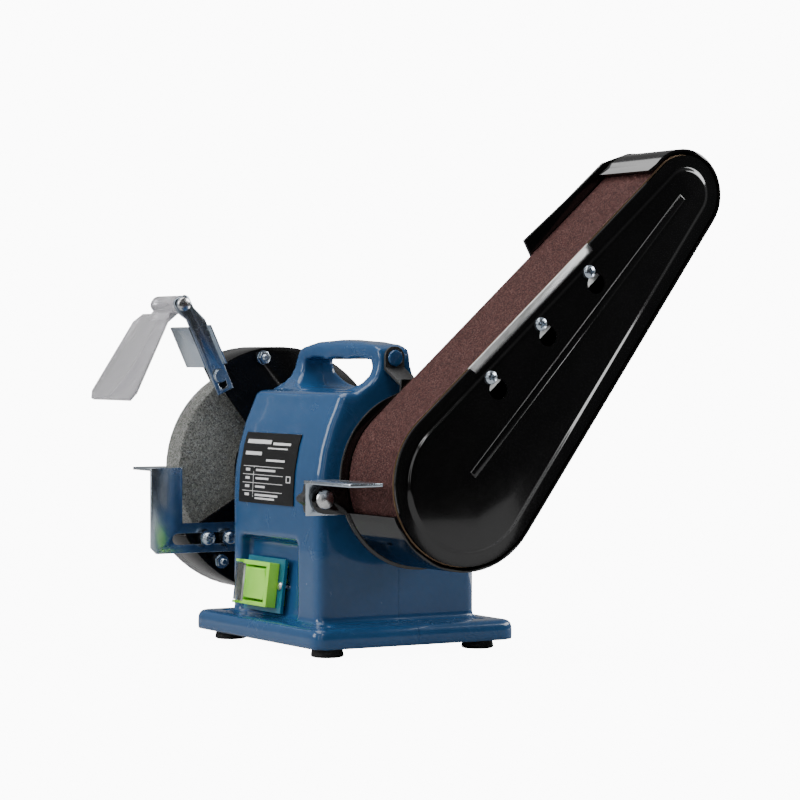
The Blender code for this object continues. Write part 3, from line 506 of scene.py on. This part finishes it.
def merged_copy(name):
    """The node's shape with its loose triangles merged and flat ones joined into whole faces."""
    bm = bmesh.new()
    bm.from_mesh(nodes[name].data)
    bmesh.ops.remove_doubles(bm, verts=bm.verts, dist=2e-6)
    bmesh.ops.dissolve_limit(bm, angle_limit=math.radians(0.8), verts=bm.verts, edges=bm.edges)
    return bm


def sharp_edges(bm, degrees=32.0):
    """The edges where two faces meet at more than an angle."""
    limit = math.radians(degrees)
    inner = [edge for edge in bm.edges if len(edge.link_faces) == 2]
    return [edge for edge in inner if edge.calc_face_angle(0.0) > limit]


def round_edges(bm, edges, width, segments=2):
    """A bevel that stops where it would meet itself; width is in metres."""
    bmesh.ops.bevel(bm, geom=edges, offset=width, segments=segments, profile=0.5, affect="EDGES",
                    material=-1, clamp_overlap=True, loop_slide=True)


# %% [markdown]
# ## Cast housings
# The stand is two aluminium castings that meet over the shaft. A casting has no sharp edge, inside or out,
# and every rib or neck runs into its wall with a fillet. Bevelling such a meeting edge by edge is slow, so
# the CAD shape is wrapped in an even grid of small faces and then relaxed: each corner turns into a fillet.


# %% Wrap and relax both halves as one, then part them again
SEAM, PARTING = 0.2 * MM, 0.08 * MM
VOXEL = 1.45 * MM
RELAX_ROUNDS = 4
HALVES = (("front_housing", 1), ("rear_housing", -1))


def wrapped(bm, voxel):
    """The closed shapes in bm, wrapped together in an even grid."""
    mesh = bpy.data.meshes.new("wrap")
    bm.to_mesh(mesh)
    bm.free()
    holder = bpy.data.objects.new("wrap", mesh)
    bpy.context.scene.collection.objects.link(holder)
    remesh = holder.modifiers.new("wrap", "REMESH")
    remesh.mode = "VOXEL"
    remesh.voxel_size = voxel
    graph = bpy.context.evaluated_depsgraph_get()
    result = bmesh.new()
    result.from_mesh(holder.evaluated_get(graph).to_mesh())
    bpy.data.objects.remove(holder)
    return result


def both_halves():
    """The two halves in one mesh, each reaching a little past the seam so that they overlap."""
    joined = bmesh.new()
    for name, way in HALVES:
        half = merged_copy(name)
        for vert in half.verts:
            if abs(vert.co.y - shaft.y) < SEAM:
                vert.co.y += way * 2 * SEAM
        scratch = bpy.data.meshes.new("half")
        half.to_mesh(scratch)
        half.free()
        joined.from_mesh(scratch)
    return joined


casting = wrapped(both_halves(), VOXEL)
for _ in range(RELAX_ROUNDS):
    bmesh.ops.smooth_vert(casting, verts=casting.verts, factor=0.5, use_axis_x=True, use_axis_y=True,
                          use_axis_z=True)
for name, way in HALVES:
    half = casting.copy()
    geometry = list(half.verts) + list(half.edges) + list(half.faces)
    parted = bmesh.ops.bisect_plane(half, geom=geometry, dist=1e-7, plane_no=(0, way, 0), clear_outer=True,
                                    plane_co=(0, shaft.y - way * PARTING, 0))
    rim = [edge for edge in parted["geom_cut"] if isinstance(edge, bmesh.types.BMEdge)]
    bmesh.ops.triangle_fill(half, use_beauty=True, edges=rim, normal=(0, way, 0))
    bmesh.ops.recalc_face_normals(half, faces=half.faces)
    print(name, len(half.faces), "faces")
    for_node(name, half, 50.0)
casting.free()

# %% [markdown]
# ## Pressed, turned and moulded pieces
# Sheet steel has a small radius where the die sheared it, and turned or moulded pieces have a small chamfer.
# That edge is what catches the light, so every visible piece gets one, as wide as its process leaves it.

# %% Broken edges
EDGE_WIDTHS = {
    "arm_frame": 0.35, "wheel_guard": 0.35, "wheel_guard_cover": 0.35, "grinding_wheel": 0.9,
    "belt_rest": 0.4, "wheel_rest": 0.35, "eye_shield_bracket": 0.3, "platen": 0.25, "arm_stay": 0.35,
    "tension_plate": 0.3, "arm_hub": 0.6, "drive_drum": 0.4, "idler_roller": 0.4, "eye_shield": 0.35,
    "switch_plate": 0.35, "switch_body": 0.7, "switch_rocker": 0.5,
    "tracking_knob": 0.5, "belt_rest_knob": 0.5, "base_plate": 0.25, "run_capacitor": 1.0,
    "foot_front_left": 0.6, "foot_front_right": 0.6, "foot_rear_left": 0.6, "foot_rear_right": 0.6,
    "wheel_flange_inner": 0.3, "wheel_flange_outer": 0.3, "wheel_nut": 0.4, "drum_nut": 0.4,
    "stay_screw": 0.4, "belt_rest_bolt": 0.3, "shield_hinge_screw": 0.3,
}
STAY_END, STAY_STEPS = 6.2, 8
OTHER_FINISH = {"platen": "rubbed_zinc", "wheel_guard": "guard_black"}
for name, width in EDGE_WIDTHS.items():
    shape = merged_copy(name)
    if name == "arm_stay":
        top = max(vert.co.z for vert in shape.verts)
        corners = [edge for edge in shape.edges if all(top - vert.co.z < 1e-5 for vert in edge.verts)
                   and abs(edge.verts[0].co.y - edge.verts[1].co.y) < 1e-5]
        round_edges(shape, corners, STAY_END * MM, STAY_STEPS)
    round_edges(shape, sharp_edges(shape), width * MM)
    for_node(name, shape, material=OTHER_FINISH.get(name))
print(len(EDGE_WIDTHS), "pieces with broken edges")

# %% [markdown]
# ## Side cover
# The cover is one sheet pressed with a raised panel and a long bead that stiffen it. Insetting a face twice,
# the second time with a rise, gives the step of the panel, and giving the sheet its thickness afterwards
# keeps both sides parallel. The three keyholes let it drop off its screws.


# %% Outlines of the belt loop
DRUM_R, TOP_R = 47.5, 22.5


def arc(radius, start, end, step, centre=(0.0, 0.0)):
    """Points on an arc, in degrees, both ends included."""
    count = max(1, round(abs(end - start) / step))
    turns = [math.radians(start + (end - start) * i / count) for i in range(count + 1)]
    return [(centre[0] + radius * math.cos(turn), centre[1] + radius * math.sin(turn)) for turn in turns]


def loop_outline(offset, step=4.0):
    """The belt's loop about both rollers, grown by an offset, as (u, v)."""
    lean = math.degrees(math.asin((DRUM_R - TOP_R) / reach))
    lower = arc(DRUM_R + offset, 90 - lean, 270 + lean, step)
    return lower + arc(TOP_R + offset, -90 + lean, 90 - lean, step * 1.5, (reach, 0.0))


def flat_face(bm, outline, x):
    """One face across the shaft, with the outline's corners."""
    return bm.faces.new([bm.verts.new((x, u, v)) for u, v in outline])


def slab(outline, x0, x1):
    """An outline pushed from x0 to x1."""
    bm = bmesh.new()
    face = flat_face(bm, outline, x0)
    pushed = bmesh.ops.extrude_face_region(bm, geom=[face])
    moved = [item for item in pushed["geom"] if isinstance(item, bmesh.types.BMVert)]
    bmesh.ops.translate(bm, verts=moved, vec=(x1 - x0, 0, 0))
    bmesh.ops.recalc_face_normals(bm, faces=bm.faces)
    return bm


def combined(base, tools, operation):
    """Base with each tool cut from it or united with it, by the exact Boolean."""
    holder = bpy.data.objects.new("base", bpy.data.meshes.new("base"))
    base.to_mesh(holder.data)
    base.free()
    bpy.context.scene.collection.objects.link(holder)
    helpers = []
    for tool in tools:
        helper = bpy.data.objects.new("tool", bpy.data.meshes.new("tool"))
        tool.to_mesh(helper.data)
        tool.free()
        bpy.context.scene.collection.objects.link(helper)
        change = holder.modifiers.new("change", "BOOLEAN")
        change.operation = operation
        change.object = helper
        helpers.append(helper)
    graph = bpy.context.evaluated_depsgraph_get()
    result = bmesh.new()
    result.from_mesh(holder.evaluated_get(graph).to_mesh())
    for used in helpers + [holder]:
        bpy.data.objects.remove(used)
    return result


# %% Press the cover
SHEET, PAST_BELT = 1.2, 0.6
RISE, MARGIN, STEP_WIDE, STEP_ROUND = 1.6, 7.6, 1.8, 0.9
X_BACK = (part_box("arm_side_cover")[0][0] - base_middle.x) / MM
X_FACE = X_BACK + SHEET
sheet = bmesh.new()
face = flat_face(sheet, loop_outline(PAST_BELT), X_FACE)
if face.normal.x < 0:
    face.normal_flip()
face.normal_update()
bmesh.ops.inset_region(sheet, faces=[face], thickness=MARGIN, depth=0.0, use_even_offset=True,
                       use_boundary=True)
bmesh.ops.inset_region(sheet, faces=[face], thickness=STEP_WIDE, depth=RISE, use_even_offset=True)
bmesh.ops.recalc_face_normals(sheet, faces=sheet.faces)
bmesh.ops.bevel(sheet, geom=sharp_edges(sheet, math.degrees(0.3)), offset=STEP_ROUND, segments=4,
                profile=0.5, affect="EDGES", material=-1)
bmesh.ops.solidify(sheet, geom=sheet.faces, thickness=SHEET)
bmesh.ops.recalc_face_normals(sheet, faces=sheet.faces)
print("cover sheet", len(sheet.faces), "faces")

# %% Bead, keyholes and the front edge cut back beside the platen
BEAD_WIDE, BEAD_HIGH, BEAD_V, BEAD_ROUND, BEAD_SUNK = 5.0, 0.9, 1.4, 0.95, 0.6
BEAD_START, BEAD_END = 5, 226
bead_low, bead_high = BEAD_V - BEAD_WIDE / 2, BEAD_V + BEAD_WIDE / 2
panel = X_FACE + RISE
bead = slab([(BEAD_START, bead_low), (BEAD_END, bead_low), (BEAD_END, bead_high), (BEAD_START, bead_high)],
            panel - BEAD_SUNK, panel + BEAD_HIGH)
crest = [edge for edge in bead.edges if all(vert.co.x > panel for vert in edge.verts)]
bmesh.ops.bevel(bead, geom=crest, offset=BEAD_ROUND, segments=4, profile=0.5, affect="EDGES", material=-1)
sheet = combined(sheet, [bead], "UNION")
CUT_X = (X_BACK - 3, X_BACK + 8)
KEY_SLOT_R, KEY_SLOT_LONG, KEY_HOLE_R, KEY_HOLE_AT = 2.5, 6.0, 6.0, (-1.6, -8.6)
cutters = []
for number in (1, 2, 3):
    _, u, v = ARM.inverted() @ middle(f"cover_screw_{number}")
    slot = arc(KEY_SLOT_R, 0, 180, 20, (u, v)) + arc(KEY_SLOT_R, 180, 360, 20, (u, v - KEY_SLOT_LONG))
    cutters.append(slab(slot, *CUT_X))
    hole = arc(KEY_HOLE_R, 0, 352, 8, (u + KEY_HOLE_AT[0], v + KEY_HOLE_AT[1]))
    cutters.append(slab(hole, *CUT_X))
lean = math.asin((DRUM_R - TOP_R) / reach)


def front_line(u, depth):
    """v at a depth under the belt's outer face on its front run."""
    return (DRUM_R + 1.0) / math.cos(lean) - u * math.tan(lean) - depth


PLATEN_START, PLATEN_END, BACK_CUT = 49.0, 161.0, 5
notch = [(u, front_line(u, depth)) for u, depth in (
    (PLATEN_START, -4), (PLATEN_START + 2, BACK_CUT), (PLATEN_END - 2, BACK_CUT), (PLATEN_END, -4))]
cutters.append(slab(notch, *CUT_X))
cover = combined(sheet, cutters, "DIFFERENCE")
cover.transform(ARM)
bmesh.ops.remove_doubles(cover, verts=cover.verts, dist=1e-6)
for_node("arm_side_cover", cover, 28.0)
print("side cover pressed")

# %% [markdown]
# ## Screws, bolts and nuts
# A plain rod with a disc on it doesn't read as a screw. A pan head is turned from a short curve and gets its
# cross recess by a cut; a nut is a six-sided prism with its corners turned off, and a stud end stands out
# of it.


# %% Fastener shapes
def turned(profile, centre, steps=32):
    """A solid turned about an X axis through a centre, from (x, radius) in millimetres along the shaft."""
    bm = bmesh.new()
    verts = [bm.verts.new((x, 0.0, radius)) for x, radius in profile]
    chain = [bm.edges.new(pair) for pair in zip(verts, verts[1:])]
    bmesh.ops.spin(bm, geom=verts + chain, cent=(0, 0, 0), axis=(1, 0, 0), dvec=(0, 0, 0), angle=math.tau,
                   steps=steps, use_merge=True, use_duplicate=False)
    bmesh.ops.remove_doubles(bm, verts=bm.verts, dist=1e-4)
    bmesh.ops.recalc_face_normals(bm, faces=bm.faces)
    bmesh.ops.translate(bm, verts=bm.verts, vec=(0, centre.y, centre.z))
    return bm


def block(x0, x1, y0, y1, z0, z1):
    """A box between two corners."""
    bm = bmesh.new()
    middle_point = Vector((x0 + x1, y0 + y1, z0 + z1)) / 2
    bmesh.ops.create_cube(bm, size=1.0, matrix=Matrix.Translation(middle_point)
                          @ Matrix.Diagonal((x1 - x0, y1 - y0, z1 - z0, 1.0)))
    return bm


def span(name):
    """The node's x range and its middle, in millimetres from the middle of the base."""
    low, high = (BASE.inverted() @ Vector(corner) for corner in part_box(name))
    return low.x, high.x, (low + high) / 2


# shares of the head's height and radius, from its underside up
PAN_HEAD = ((0.0, 1.0), (0.45, 0.98), (0.8, 0.78), (1.0, 0.34))
WASHER_WIDE = 1.22
RECESS_DEEP, RECESS_LONG, RECESS_WIDE = 0.75, 0.62, 0.13


def cross_head(name, turn, head, shank, height, washer=0.0):
    """A pan-head screw whose head is at the node's +X end."""
    low, high, centre = span(name)
    under = high - height
    profile = [(low, 0), (low, shank), (under - washer, shank)]
    if washer:
        profile += [(under - washer, head * WASHER_WIDE), (under, head * WASHER_WIDE)]
    profile += [(under + height * up, head * wide) for up, wide in PAN_HEAD] + [(high, 0)]
    screw = turned(profile, centre)
    recess = []
    for quarter in (0.0, math.pi / 2):
        bar = block(high - height * RECESS_DEEP, high + 2, -head * RECESS_LONG, head * RECESS_LONG,
                    -head * RECESS_WIDE, head * RECESS_WIDE)
        bar.transform(Matrix.Translation((0, centre.y, centre.z)) @ Matrix.Rotation(turn + quarter, 4, "X"))
        recess.append(bar)
    screw = combined(screw, recess, "DIFFERENCE")
    screw.transform(BASE)
    for_node(name, screw)


NUT_CORNER, NUT_WASHER, NUT_WASHER_WIDE = 0.45, 0.9, 0.62
THREAD_PITCH, THREAD_ROOT, STUD_END = 0.7, 0.86, 0.8
# x from the head's top, radius as a share of the nut's width
DOMED_HEAD = ((0.0, 0.0), (0.0, 0.42), (1.0, 0.52), (2.4, 0.54))


def hex_block(x0, x1, across, centre, turn):
    """Six-sided prism with turned-off corners."""
    bm = bmesh.new()
    corner = across / math.sqrt(3)
    place = Matrix.Translation(((x0 + x1) / 2, centre.y, centre.z))
    bmesh.ops.create_cone(bm, cap_ends=True, segments=6, radius1=corner, radius2=corner, depth=x1 - x0,
                          matrix=place @ Matrix.Rotation(turn, 4, "X") @ Matrix.Rotation(math.pi / 2, 4, "Y"))
    rims = [edge for edge in bm.edges if abs(edge.verts[0].co.x - edge.verts[1].co.x) < 1e-4]
    bmesh.ops.bevel(bm, geom=rims, offset=NUT_CORNER, segments=2, profile=0.5, affect="EDGES", material=-1)
    return bm


def bolt_and_nut(name, turn, across, stud, nut_x0, nut_x1):
    """A bolt whose nut and stud end are on the +X side, with a domed head at the other end."""
    low, high, centre = span(name)
    rings = [(low + up, across * wide) for up, wide in DOMED_HEAD] + [(low + DOMED_HEAD[-1][0], stud)]
    threads = [(nut_x1, stud)]
    x = nut_x1
    while x < high - STUD_END:
        threads += [(x + THREAD_PITCH / 2, stud * THREAD_ROOT), (x + THREAD_PITCH, stud)]
        x += THREAD_PITCH
    bolt = turned(rings + threads + [(high, stud * 0.8), (high, 0)], centre)
    under, wide = nut_x0 - NUT_WASHER, across * NUT_WASHER_WIDE
    washer = turned([(under, 0), (under, wide), (nut_x0, wide), (nut_x0, 0)], centre)
    bolt = combined(bolt, [washer, hex_block(nut_x0 - 0.05, nut_x1, across, centre, turn)], "UNION")
    bolt.transform(BASE)
    for_node(name, bolt)


NUT_FROM_END, NUT_TO_END = 4.4, 1.8
for number, turn in enumerate((0.5, 1.1, 0.2), 1):
    cross_head(f"cover_screw_{number}", turn, 4.0, 2.0, 2.7)
for number, turn in enumerate((0.3, 0.9), 1):
    cross_head(f"wheel_rest_bolt_{number}", turn, 4.3, 2.5, 3.2, washer=0.8)
for number, turn in enumerate((0.1, 0.7, 0.4), 1):
    end = span(f"guard_bolt_{number}")[1]
    bolt_and_nut(f"guard_bolt_{number}", turn, 7.4, 2.0, end - NUT_FROM_END, end - NUT_TO_END)
print("screws, bolts and nuts")

# %% [markdown]
# ## Belt
# Cloth with grit glued on its outer side only. The grit and the bare backing are one loop, so the belt keeps
# one mesh and its faces choose a finish by the way they look: away from the middle of the loop, or towards
# it.

# %% Grit outside, cloth inside
belt = merged_copy("abrasive_belt")
belt_piece = for_node("abrasive_belt", belt, 60.0)
belt_piece.data.materials.append(backing)
into_arm = ARM.inverted()
turn_only = Matrix.Rotation(-tilt, 4, "X")
for polygon in belt_piece.data.polygons:
    place = into_arm @ polygon.center
    nearest = Vector((place.x, min(max(place.y, 0.0), reach), 0.0))
    outward = (place - nearest).dot(turn_only @ polygon.normal)
    polygon.material_index = 0 if outward > 0.5 else 1
print("belt", len(belt_piece.data.polygons), "faces")

# %% [markdown]
# ## Rating plate
# A black foil with pale print. The print stays generic: a small frame, bars and ruled lines in place of
# words. Each mark is a thin sheet dropped on the curved foil.

# %% Foil and its print
foil = merged_copy("rating_plate")
foil_tree = BVHTree.FromBMesh(foil)
plate_low, plate_high = (BASE.inverted() @ Vector(corner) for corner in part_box("rating_plate"))
for_node("rating_plate", foil)
INK_THICK, INK_SHEET, IN_FRONT, INK_ROW = 0.05, 0.04, 5, 4


def ink_marks(marks):
    """Marks are (left, right, low, high) in fractions of the foil; each becomes a sheet that follows it."""
    bm = bmesh.new()
    wide, tall = plate_high.x - plate_low.x, plate_high.z - plate_low.z
    for left, right, low, high in marks:
        size = Vector(((right - left) * wide, (high - low) * tall))
        corner = Vector((plate_low.x + left * wide, plate_low.z + low * tall))
        rows = max(1, round(size.y / INK_ROW))
        grid = bmesh.ops.create_grid(bm, x_segments=1, y_segments=rows, size=0.5)
        for vert in grid["verts"]:
            across, up = (vert.co.x + 0.5) * size.x, (vert.co.y + 0.5) * size.y
            vert.co = Vector((corner.x + across, plate_low.y - IN_FRONT, corner.y + up))
    for vert in bm.verts:
        hit = foil_tree.ray_cast(BASE @ vert.co, Vector((0, 1, 0)))[0]
        vert.co = BASE.inverted() @ hit - Vector((0, INK_THICK, 0))
    for face in bm.faces:
        face.normal_update()
        if face.normal.y > 0:
            face.normal_flip()
    bmesh.ops.solidify(bm, geom=bm.faces, thickness=INK_SHEET)
    bm.transform(BASE)
    return bm


ROW_TOP, ROW_STEP = 0.455, 0.118
heading = [(0.06, 0.50, 0.845, 0.90), (0.54, 0.86, 0.835, 0.87), (0.46, 0.82, 0.775, 0.795),
           (0.06, 0.36, 0.68, 0.73), (0.46, 0.80, 0.60, 0.63)]
rows = []
for row, width in enumerate((0.36, 0.24, 0.18, 0.42)):
    low = ROW_TOP - row * ROW_STEP
    rows += [(0.06, 0.80, low + 0.062, low + 0.070), (0.30, 0.30 + width, low, low + 0.030),
             (0.11, 0.19, low - 0.004, low + 0.034)]
column_rule = [(0.255, 0.262, 0.08, 0.52)]
small_frame = [(0.86, 0.94, 0.40, 0.412), (0.86, 0.872, 0.33, 0.40), (0.928, 0.94, 0.33, 0.40),
               (0.86, 0.94, 0.318, 0.33)]
marks = heading + rows + column_rule + small_frame + [(0.30, 0.66, 0.055, 0.08)]
piece("rating_print", ink_marks(marks), "ink", "stand")
print(len(marks), "printed marks")

# %% [markdown]
# ## The tension spring
# The slide that carries the idler presses on a spring. The spring is the CAD shape on a mesh of its own,
# riding on its node's body.

# %% The spring on a mesh of its own
spring = for_node("tension_spring", merged_copy("tension_spring"))
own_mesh(spring)

# %% [markdown]
# ## Switch cover
# A clear hood is hinged over the switch so that dust stays out. It is the CAD flap with its edges rounded,
# thin enough for the green to show through.

# %% Clear hood
hood = merged_copy("switch_flap")
HOOD_EDGE = 0.3
round_edges(hood, sharp_edges(hood), HOOD_EDGE * MM)
for_node("switch_flap", hood, material=hood_clear)
print("hood over the switch")
